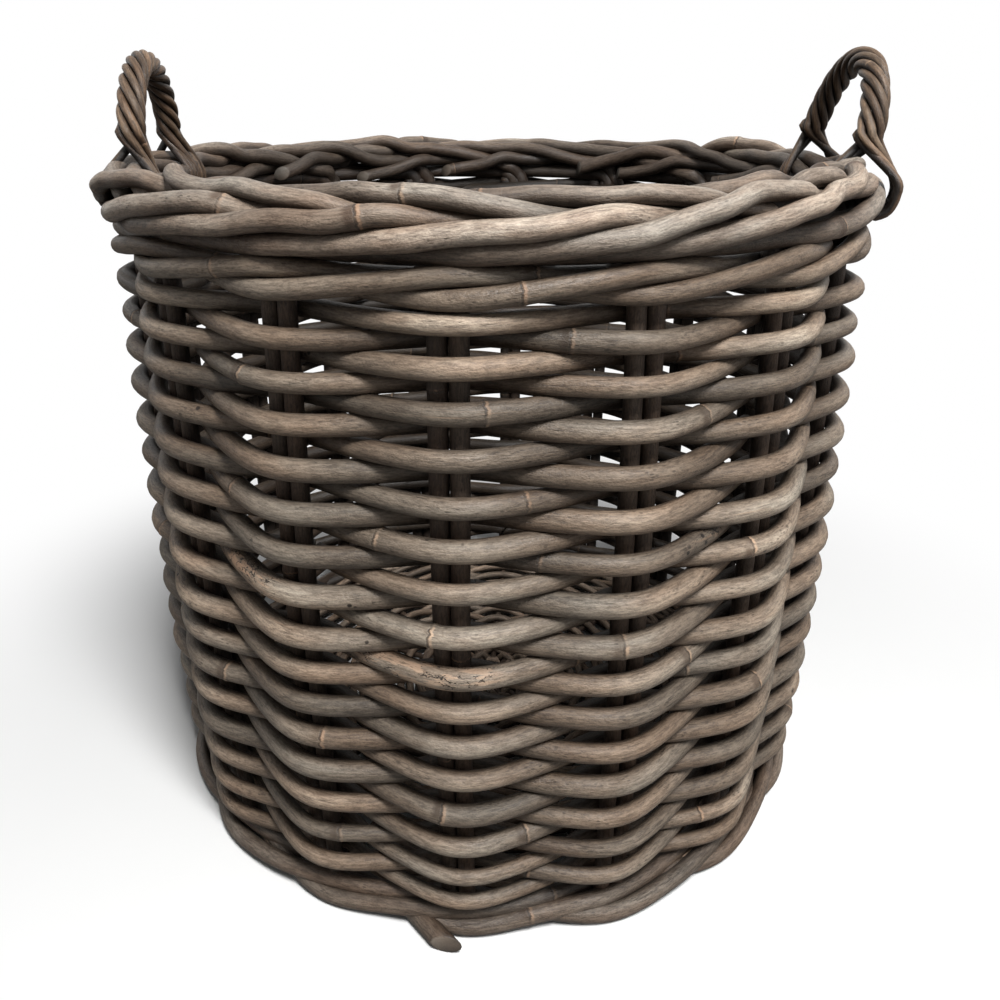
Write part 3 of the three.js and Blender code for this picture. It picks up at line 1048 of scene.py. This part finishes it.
@dataclass
class Border:
    """Thick rods rolled over each other round the rim, two from each stake pair.

    The first rod of a pair runs under the roll and up its outside, where it either dives between its
    neighbours or climbs over the top, and ends in a cut tail on the inside. The second rises on the inside,
    crowns the roll and dips under the rods that follow. One of these is cut off square while it still lies
    on the top.
    """

    wall: Wall
    first_deg: float = -30.0
    lead_deg: float = 19.2
    apart_deg: float = 1.2
    shifts_deg: tuple[float, ...] = (
        -4.0, 0.0, -5.0, 1.0, 3.0, -4.0, 2.0, 0.0, 4.0, -3.0, 1.0, 5.0, -2.0, 2.0, -3.0, -11.0)
    climbing: tuple[int, ...] = (1, 2, 5, 8, 10, 13)
    cut_short: int = 2
    tones: tuple[float, ...] = (
        0.95, 0.6, 0.7, 0.8, 0.55, 0.7, 0.4, 0.65, 0.5, 0.8, 0.6, 0.4, 0.7, 0.5, 0.75, 0.45)
    rod_radius: float = 0.0050
    crown_share: float = 0.93
    node_gap: float = 0.27
    rising_deg: tuple[float, ...] = (-2.4, -2.2, -1.2)
    rising_in: tuple[float, ...] = (0.0046, 0.0046, 0.0048)
    rising_below: tuple[float, ...] = (0.0200, 0.0148, 0.0112)
    sway_deg: float = 7.0
    sway_spacing_deg: float = 26.0
    sway_from_deg: float = 15.0
    settling_rounds: int = 80
    least_distance: float = 1.94
    smoothing: float = 0.3
    hold: float = 0.05
    no_distance: float = 1e-9
    lowest: float = 0.0097
    inner_edge: float = -0.008
    inner_drop: float = 0.012
    # Painted shade: rods are darkened on the side that faces a centre moved in and down from the roll's, and
    # their painted light level grows with their place outwards and upwards, never below the least.
    shade_core_in: float = 0.007
    shade_core_below: float = 0.005
    painted_light_middle: float = 0.48
    painted_light_outwards: float = 0.513
    painted_light_upwards: float = 0.3564
    least_painted_light: float = 0.2
    path_step: float = 0.003
    tone_range: Span = (0.3, 0.9)
    size_range: Span = (0.94, 1.06)
    first_sway_seed: int = 740
    first_look_seed: int = 720
    first_rod_seed: int = 70

    def course(self, number: int) -> tuple[Course, int, float]:
        """Chooses a rod's course.

        Args:
            number: the rod's number; the second rods of the pairs follow after all the first ones.

        Returns:
            The course, the rod's first cross-section in degrees, and the angle where its course starts.
        """
        pairs = self.wall.pairs
        pair = number % pairs
        at_pair = self.first_deg - self.lead_deg + 360.0 / pairs * pair
        if number < pairs:
            course = CLIMBING if pair in self.climbing else DIVING
            return course, round(at_pair + self.apart_deg), at_pair + self.lead_deg + self.shifts_deg[pair]
        course = CUT_SHORT if pair == self.cut_short else CROWNING
        return course, round(at_pair - self.apart_deg), at_pair - self.apart_deg

    def settle(self) -> list[tuple[np.ndarray, np.ndarray]]:
        """Works out where the rods lie in each cross-section of the roll, one degree apart.

        Each rod follows its course and sways a little to both sides. Then the rods settle: wherever two of
        them are closer than `least_distance` radii both give way by half, each keeps its own course smooth,
        and each is drawn back a little to where it wanted to lie. None sinks below the roll, but tails may
        hang inside it.

        Returns:
            For each rod its cross-sections in degrees, and its places outwards and upwards from the roll's
            centre.
        """
        count = 2 * self.wall.pairs
        place = np.zeros((360, count, 2))
        there = np.zeros((360, count), bool)
        sections = []
        for number in range(count):
            course, first, start = self.course(number)
            degrees = np.arange(first, round(start + course.run_deg[-1]))
            run = degrees - start
            rng = np.random.default_rng(self.first_sway_seed + number)
            sway = wander(run - run[0], self.sway_spacing_deg, rng)
            sway = self.sway_deg * sway * np.clip(run / self.sway_from_deg, 0, 1)
            turn = np.radians(np.interp(run, course.run_deg, course.turn_deg) + sway)
            offset = np.interp(run, course.run_deg, course.offset)
            place[degrees % 360, number] = np.stack([offset * np.cos(turn), offset * np.sin(turn)], -1)
            there[degrees % 360, number] = True
            sections.append(degrees)
        wanted = place.copy()
        both = there[:, :, None] & there[:, None, :] & ~np.eye(count, dtype=bool)[None]
        for _ in range(self.settling_rounds):
            gap = place[:, :, None, :] - place[:, None, :, :]
            distance = np.linalg.norm(gap, axis=-1) + self.no_distance
            close = np.clip(self.least_distance * self.rod_radius - distance, 0, None) * both
            place = place + 0.5 * (gap / distance[..., None] * close[..., None]).sum(2)
            before = np.where(np.roll(there, 1, 0)[..., None], np.roll(place, 1, 0), place)
            after = np.where(np.roll(there, -1, 0)[..., None], np.roll(place, -1, 0), place)
            place = (1 - 2 * self.smoothing) * place + self.smoothing * before + self.smoothing * after
            place = place + self.hold * (wanted - place)
            floor = -self.lowest - self.inner_drop * (place[..., 0] < self.inner_edge)
            place[..., 1] = np.maximum(place[..., 1], floor)
        return [(degrees, place[degrees % 360, number]) for number, degrees in enumerate(sections)]

    def build(self, finishes: Finishes) -> Pieces:
        """Makes one piece for each rod.

        A rod rises from its stake pair and then runs through its settled places. It is painted the darker, as
        shade, the further in and down it lies in the roll.

        Args:
            finishes: the materials by slot.

        Returns:
            The pieces.
        """
        strands = sum(name.startswith("border_rod_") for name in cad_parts)
        circle, height = self.wall.border_circle, self.wall.border_height
        rising = -np.stack([self.rising_in, self.rising_below], -1)
        painted_light_gains = np.array([self.painted_light_outwards, self.painted_light_upwards]) / self.lowest
        pieces = []
        for number, (degrees, places) in enumerate(self.settle()):
            rng = np.random.default_rng(self.first_look_seed + number)
            own = np.concatenate([rising, places[::2]])
            turn = np.radians(np.concatenate([degrees[0] + np.array(self.rising_deg), degrees[::2]]))
            knots = on_circle(circle + own[:, 0], turn, height + own[:, 1])
            # Painted shade: darker towards the inside and the bottom of the roll.
            cores = on_circle(circle - self.shade_core_in, turn, height - self.shade_core_below)
            shades = self.painted_light_middle + own @ painted_light_gains
            course = smooth_path(np.concatenate([knots, cores, shades[:, None]], axis=1), self.path_step)
            crowns = number >= self.wall.pairs
            square = number == self.wall.pairs + self.cut_short
            radius = self.rod_radius * rng.uniform(*self.size_range) * (self.crown_share if crowns else 1)
            tone = rng.uniform(*self.tone_range) if crowns else self.tones[number]
            look = RodLook(
                self.first_rod_seed + number, tone, self.node_gap, rng.uniform(0, self.node_gap), taper=-0.12,
                unevenness=0.055, cut_turn_deg=115.0, ends=(End.SQUARE, End.SQUARE if square else End.SLANT))
            mesh = RodMesh(sides=18, station_gap=0.003, node_swell=0.08, node_width=0.0022)
            mesh.add(course[:, :3], radius, look, np.clip(course[:, 6], self.least_painted_light, 1), course[:, 3:6])
            node = f"border_rod_{number % strands + 1}"
            pieces.append(mesh.piece(f"rim_rod_{number + 1:02d}", "border_rattan", finishes, node))
        return pieces


@dataclass
class FootStub:
    """Thick cut end of a stick that stands out at the front from under the foot's rods."""

    rod_radius: float = 0.0050
    from_circle: float = 0.1935
    from_deg: float = -12.0
    to_circle: float = 0.2102
    to_deg: float = -6.2
    height: float = 0.0052
    # Painted shade for the stub, which lies low under the foot's rods.
    painted_light_level: float = 0.75
    points: int = 20
    seed: int = 95

    def build(self, finishes: Finishes) -> Pieces:
        """Makes the stub, cut so that its face looks up.

        Args:
            finishes: the materials by slot.

        Returns:
            The piece, in a list.
        """
        start = on_circle(self.from_circle, np.radians(self.from_deg), self.height)
        end = on_circle(self.to_circle, np.radians(self.to_deg), self.height)
        path = start + np.linspace(0, 1, self.points)[:, None] * (end - start)
        ends = (End.SQUARE, End.STEEP)
        look = RodLook(self.seed, tone=0.3, node_gap=0.24, node_shift=0.2, ends=ends, cut_turn_deg=270.0)
        mesh = RodMesh()
        mesh.add(path, self.rod_radius, look, np.full(len(path), self.painted_light_level))
        return [mesh.piece("foot_stub", "border_rattan", finishes, "foot_rod")]


@dataclass
class Base:
    """Round mat of thin rods woven over and under eight crossed sticks."""

    wall: Wall
    sticks: int = 8
    stick_radius: float = 0.0021
    rod_radius: float = 0.0027
    first_round: float = 0.012
    edge: float = 0.002
    rounds: int = 28
    press: float = 0.92
    round_points: int = 241
    stick_points: int = 30
    tone_range: Span = (0.2, 0.8)
    first_seed: int = 500
    first_stick_seed: int = 560
    node_gap: float = 0.3

    def __post_init__(self) -> None:
        """Takes the mat's middle height and its radius from the frame."""
        low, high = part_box("base_weave")
        self.height = (low.z + high.z) / 2
        self.radius = high.x

    def build(self, finishes: Finishes) -> Pieces:
        """Makes the mat and the sticks.

        In each round the rod's height swings as cos(8 a), over one stick and under the next, and the rounds
        alternate.

        Args:
            finishes: the materials by slot.

        Returns:
            The two pieces.
        """
        mat = RodMesh(sides=8, station_gap=0.006)
        swing = self.press * (self.stick_radius + self.rod_radius)
        angle = self.wall.pair_angle(0) + np.linspace(0.0, TURN, self.round_points)
        wave = swing * np.cos(self.sticks * (angle - angle[0]))
        for number, radius in enumerate(np.linspace(self.first_round, self.radius - self.edge, self.rounds)):
            path = on_circle(radius, angle, self.height + wave * (1 if number % 2 else -1))
            seed = self.first_seed + number
            rng = np.random.default_rng(seed)
            look = RodLook(
                seed, tone=rng.uniform(*self.tone_range), node_gap=self.node_gap,
                node_shift=rng.uniform(0, self.node_gap), shade_strength=0.9)
            # Painted shade: each rod of the mat is painted darker on its underside than on its top.
            mat.add(path, self.rod_radius, look, core=path - UP)
        star = RodMesh(sides=10, station_gap=0.02)
        for number in range(self.sticks):
            across = self.radius * np.linspace(-1, 1, self.stick_points)
            path = on_circle(across, self.wall.pair_angle(number), self.height)
            star.add(path, self.stick_radius, RodLook(self.first_stick_seed + number))
        return [
            mat.piece("base_mat", "base_rattan", finishes, "base_weave"),
            star.piece("base_star", "stake_rattan", finishes, "base_sticks"),
        ]


@dataclass
class Handle:
    """An ear handle: a bow of strands twisted together, whose ends part and straddle the border.

    Each leg's strands go round the border through saddle knots: how far they are tilted up, and their
    shares of the reach and of the shift along the rim.
    """

    wall: Wall
    name: str
    angle_deg: float
    lean_deg: float
    inner_strands: int
    rise: float
    front_out: float
    back_out: float
    outer_reach: float
    first_seed: int
    strands: int = 6
    rod_radius: float = 0.0024
    rope_offset: float = 0.0052
    pitch: float = 0.066
    span: float = 0.096
    saddle_reach: float = 0.0178
    part_height: float = 0.0065
    lean_share: float = 0.98
    onward: float = 0.016
    strand_gap: float = 0.0052
    leg_shift: float = 0.002
    inner_reach: float = 0.0172
    saddle_tilts_deg: tuple[float, ...] = (26.0, 0.0, -28.0, -52.0)
    reach_shares: tuple[float, ...] = (1.03, 1.0, 0.93, 0.76)
    shift_shares: tuple[float, ...] = (0.9, 1.0, 1.0, 0.95)
    path_step: float = 0.002
    tones: Line = (0.16, 0.1)
    shaded_part: Span = (-0.04, 0.04)
    shades: Span = (1.0, 0.62)

    def axes(self) -> tuple[np.ndarray, np.ndarray]:
        """Gives the outward and the along-rim direction at the handle's middle."""
        angle = np.radians(self.angle_deg)
        return on_circle(1.0, angle, 0.0), on_circle(1.0, angle + np.pi / 2, 0.0)

    def bow(self) -> tuple[np.ndarray, np.ndarray]:
        """Draws the bow's centre line, half an ellipse that leans outwards and stands a little askew.

        Returns:
            The points of the bow above the height where the strands part, and the direction across its
            plane.
        """
        outward, along_rim = self.axes()
        base = self.wall.border_height + self.saddle_reach
        foot = np.sqrt(self.wall.border_circle**2 - (self.span / 2) ** 2)
        first = np.arcsin(self.part_height / self.rise)
        turn = np.linspace(first, np.pi - first, 90)[:, None]
        up = self.rise * np.sin(turn)
        lean = np.tan(np.radians(self.lean_deg))
        front = np.sign(along_rim[1]) * np.cos(turn)
        foot = foot + (self.front_out + self.back_out) / 2 + front * (self.front_out - self.back_out) / 2
        points = outward * (foot + up * lean) - along_rim * (self.span / 2) * np.cos(turn) + UP * (base + up)
        return points, unit(outward - UP * lean * self.lean_share)

    def saddle(self, leg_angle: float, inside: bool, shift: float) -> np.ndarray:
        """Draws the end of a strand round the border, from near its top to below its middle.

        Args:
            leg_angle: angle round the basket where the leg stands.
            inside: whether the strand goes down inside the rim.
            shift: how far along the rim the strand comes to lie.

        Returns:
            Knots from the top down.
        """
        tilt = np.radians(self.saddle_tilts_deg)
        reach = np.array(self.reach_shares) * (self.inner_reach if inside else self.outer_reach)
        way = -1.0 if inside else 1.0
        angle = leg_angle + shift * np.array(self.shift_shares) / self.wall.border_circle
        radius = self.wall.border_circle + way * reach * np.cos(tilt)
        return on_circle(radius, angle, self.wall.border_height + reach * np.sin(tilt))

    def leg_knots(self, leg: int, turns: np.ndarray, square: np.ndarray, beside: np.ndarray) -> dict:
        """Chooses where each strand goes at one leg, and draws its end there.

        The strands that would lie innermost a little further on go down inside the rim and the others
        outside, side by side in the order in which they lie along it.

        Args:
            leg: -1 for the leg where the bow starts, 1 for the leg where it ends.
            turns: each strand's turn round the centre line where the strands part.
            square: direction across the bow's plane.
            beside: direction across the centre line in the bow's plane, at this leg.

        Returns:
            Knots from the top down, by strand.
        """
        outward, along_rim = self.axes()
        leg_angle = np.radians(self.angle_deg) + leg * np.arcsin(self.span / 2 / self.wall.border_circle)
        ahead = turns[:, None] - leg * TURN * self.onward / self.pitch
        offsets = np.cos(ahead) * square + np.sin(ahead) * beside
        inner = set(np.argsort(offsets @ outward)[: self.inner_strands].tolist())
        knots = {}
        for group in (sorted(inner), sorted(set(range(self.strands)) - inner)):
            ranked = sorted(group, key=lambda strand: float(offsets[strand] @ along_rim))
            for rank, strand in enumerate(ranked):
                shift = self.strand_gap * (rank - (len(ranked) - 1) / 2) + self.leg_shift * leg
                knots[strand] = self.saddle(leg_angle, strand in inner, shift)
        return knots

    def build(self, finishes: Finishes) -> Pieces:
        """Makes the handle.

        Along the bow each strand winds left-handed round the centre line, one turn per pitch.

        Args:
            finishes: the materials by slot.

        Returns:
            The piece, in a list.
        """
        centre, square = self.bow()
        beside = np.cross(unit(np.gradient(centre, axis=0)), square)
        along = arc_length(centre)
        turns = TURN * np.arange(self.strands)[:, None] / self.strands - TURN * along[None, :] / self.pitch
        winding = np.cos(turns)[..., None] * square + np.sin(turns)[..., None] * beside
        ropes = centre + self.rope_offset * winding
        starts = self.leg_knots(-1, turns[:, 0], square, beside[0])
        ends = self.leg_knots(1, turns[:, -1], square, beside[-1])
        knotted = slice(2, -2, 3)
        mesh = RodMesh(sides=14, station_gap=0.0022)
        for strand in range(self.strands):
            knots = np.concatenate([starts[strand][::-1], ropes[strand][knotted], ends[strand]])
            turn = np.arctan2(knots[:, 0], -knots[:, 1])
            # Painted shade: each strand is darker where it faces the rope's centre line, in the grooves, and
            # the back leg is painted darker than the front one.
            cores = on_circle(self.wall.border_circle, turn, self.wall.border_height)
            cores[len(starts[strand]) : -len(ends[strand])] = centre[knotted]
            course = smooth_path(np.concatenate([knots, cores], axis=1), self.path_step)
            shade = np.interp(course[:, 1], self.shaded_part, self.shades)
            look = RodLook(
                self.first_seed + strand, tone=self.tones[1] + self.tones[0] * strand, node_gap=0.24,
                node_shift=0.05 * strand, unevenness=0.06, shade_strength=1.35, ends=(End.SLANT, End.SLANT))
            mesh.add(course[:, :3], self.rod_radius, look, shade, course[:, 3:], reference=square)
        return [mesh.piece("handle_rope_" + self.name, "handle_rattan", finishes, "handle_" + self.name)]


@dataclass(frozen=True)
class Lamp:
    """Square soft lamp that faces the middle of the basket."""

    name: str
    place: Place
    size: float
    power: float
    aim: Place = (0.0, 0.0, 0.22)

    def build(self) -> None:
        """Adds the lamp to the scene."""
        data = bpy.data.lights.new(self.name, "AREA")
        data.energy = self.power
        data.size = self.size
        lamp = bpy.data.objects.new(self.name, data)
        lamp.location = self.place
        way = Vector(self.aim) - Vector(self.place)
        lamp.rotation_euler = way.to_track_quat("-Z", "Y").to_euler()
        bpy.context.scene.collection.objects.link(lamp)


@dataclass
class Studio:
    """Camera, lights, floor and background."""

    eye: Place = (0.0, -0.552, 0.4143)
    pitch_deg: float = 16.0
    focal_pixels: float = 877.2
    centre_pixels: Span = (490.8, 352.0)
    image_pixels: float = 1000.0
    sensor: float = 36.0
    nearest: float = 0.01
    lamps: tuple[Lamp, ...] = (
        Lamp("key", (0.3, -0.9, 1.5), 0.42, 35.0),
        Lamp("left_fill", (-1.5, -0.8, 0.9), 1.2, 1.2),
        Lamp("right_fill", (1.5, -0.8, 0.9), 1.2, 5.0),
    )
    room_colour: Colour = (0.95, 0.97, 1.0)
    room_strength: float = 0.07
    floor_reach: float = 6.0
    floor_colours: tuple[Colour, Colour] = ((0.9, 0.9, 0.89), (0.93, 0.93, 0.925))
    floor_bounce: Colour = (0.35, 0.345, 0.335)
    floor_fade: Span = (0.2, 0.55)

    def camera(self) -> None:
        """Places the photograph's camera: its focal length and the shift of its centre are kept in pixels."""
        data = bpy.data.cameras.new("camera")
        data.sensor_width = self.sensor
        data.lens = self.focal_pixels / self.image_pixels * self.sensor
        data.shift_x = 0.5 - self.centre_pixels[0] / self.image_pixels
        data.shift_y = self.centre_pixels[1] / self.image_pixels - 0.5
        data.clip_start = self.nearest
        camera = bpy.data.objects.new("camera", data)
        camera.location = self.eye
        camera.rotation_euler = (np.radians(90 - self.pitch_deg), 0, 0)
        bpy.context.scene.collection.objects.link(camera)
        bpy.context.scene.camera = camera

    def world(self) -> None:
        """Lights the room evenly and shows white where the camera or a reflection sees past the floor."""
        world = bpy.data.worlds.new("studio")
        bpy.context.scene.world = world
        sheet = cleared_sheet(world)
        path = sheet.node("LightPath").outputs
        seen = sheet.math("MAXIMUM", path["Is Camera Ray"], path["Is Glossy Ray"])
        soft = sheet.node("Background", {"Color": opaque(self.room_colour), "Strength": self.room_strength})
        white = sheet.node("Background", {"Color": (1.0, 1.0, 1.0, 1.0), "Strength": 1.0})
        mixed = sheet.node("MixShader", {0: seen, 1: soft.outputs[0], 2: white.outputs[0]})
        sheet.node("OutputWorld", {0: mixed.outputs[0]})

    def floor(self) -> None:
        """Lays a plain pale floor that keeps the basket's shadow and fades into the white background.

        The floor glows white for the camera alone, from nothing near the basket to all of it far away.
        """
        mesh = bpy.data.meshes.new("floor")
        far = self.floor_reach
        corners = ((-far, -far, 0), (far, -far, 0), (far, far, 0), (-far, far, 0))
        mesh.from_pydata(corners, [], [(0, 1, 2, 3)])
        material = bpy.data.materials.new("pale_floor")
        sheet = cleared_sheet(material)
        place = sheet.node("TexCoord").outputs["Object"]
        mottle = sheet.noise(place, (9, 9, 9), 3.0)
        tint = sheet.mix(mottle, *(opaque(colour) for colour in self.floor_colours))
        pale = sheet.node("BsdfPrincipled", {"Base Color": tint, "Roughness": 0.9, "Specular IOR Level": 0.1})
        dull = sheet.node("BsdfDiffuse", {"Color": opaque(self.floor_bounce)})
        glow = sheet.node("Emission", {"Color": (1.0, 1.0, 1.0, 1.0), "Strength": 1.0})
        away = sheet.node("VectorMath", {0: place}, operation="LENGTH").outputs["Value"]
        share = sheet.ramp(away, *self.floor_fade)
        lit = sheet.node("MixShader", {0: share, 1: pale.outputs[0], 2: glow.outputs[0]})
        camera_ray = sheet.node("LightPath").outputs["Is Camera Ray"]
        mixed = sheet.node("MixShader", {0: camera_ray, 1: dull.outputs[0], 2: lit.outputs[0]})
        sheet.node("OutputMaterial", {0: mixed.outputs[0]})
        mesh.materials.append(material)
        floor = bpy.data.objects.new("floor", mesh)
        bpy.context.scene.collection.objects.link(floor)

    def build(self) -> None:
        """Sets up everything round the basket."""
        self.camera()
        for lamp in self.lamps:
            lamp.build()
        self.world()
        self.floor()
        bpy.context.scene.view_settings.view_transform = "Standard"


FINISHES = (
    RattanFinish(
        "weaver_skin", "weaver_rattan", deep=(0.085, 0.058, 0.039), skin=(0.235, 0.175, 0.122),
        wash=(0.37, 0.32, 0.25), worm_share=1.0),
    RattanFinish(
        "border_skin", "border_rattan", deep=(0.085, 0.055, 0.036), skin=(0.24, 0.175, 0.125),
        wash=(0.42, 0.37, 0.3), wash_share=0.85, node_gap=0.27),
    RattanFinish(
        "stake_skin", "stake_rattan", deep=(0.05, 0.033, 0.023), skin=(0.13, 0.088, 0.06),
        wash=(0.17, 0.14, 0.11), wash_share=0.5, peel_share=0.25, roughness=0.62),
    RattanFinish(
        "handle_skin", "handle_rattan", deep=(0.04, 0.022, 0.012), skin=(0.142, 0.086, 0.048),
        wash=(0.285, 0.212, 0.143), wash_share=0.55, speck_share=0.3, ring_share=0.4, roughness=0.46,
        shaded=0.05),
    RattanFinish(
        "base_skin", "base_rattan", deep=(0.06, 0.04, 0.026), skin=(0.22, 0.16, 0.11),
        wash=(0.38, 0.31, 0.24), wash_share=0.6, ring_share=0.4, roughness=0.62),
)

FOOT_SWELLS = (
    -0.0022, 0.0015, 0.001, 0.001, 0.0, 0.001, 0.0, 0.001, 0.0, 0.001, 0.0, 0.001, 0.001, 0.0028, 0.0024,
    -0.0016)


def main() -> None:
    """Builds the basket's sub-assemblies in order and reports each piece."""
    logging.basicConfig(level=logging.INFO, format="%(name)s: %(message)s")
    grain = grain_group()
    rings = ring_group()
    finishes = {finish.slot: finish.material(grain, rings) for finish in FINISHES}
    Studio().build()
    wall = Wall()
    parts = (
        Stakes(wall),
        WeaverRows(wall),
        Wale(
            wall, "wale", ("wale_rod_1", "wale_rod_2", "wale_rod_3"), "weaver_rattan", rod_radius=0.0046,
            reach=0.0091, middle=0.3434, rise=0.0048),
        Border(wall),
        Wale(
            wall, "foot", ("foot_rod",) * 3, "border_rattan", rod_radius=0.0046, reach=0.0096, middle=0.0104,
            rise=0.0055, outs=(-0.5, 0.9, 0.5), rises=(0.4, -1.0, 0.25), swells=FOOT_SWELLS,
            tones=(0.0, 0.12, 0.05), first_seed=90),
        FootStub(),
        Base(wall),
        Handle(
            wall, "left", angle_deg=-84.0, lean_deg=1.0, inner_strands=5, rise=0.051, front_out=-0.006,
            back_out=-0.0033, outer_reach=0.0134, first_seed=110),
        Handle(
            wall, "right", angle_deg=84.5, lean_deg=11.0, inner_strands=2, rise=0.053, front_out=0.0024,
            back_out=-0.004, outer_reach=0.0200, first_seed=117),
    )
    for part in parts:
        for piece in part.build(finishes):
            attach(piece, BODY)
            log.info("%s has %d faces", piece.name, len(piece.data.polygons))


if __name__ == "__main__":
    main()
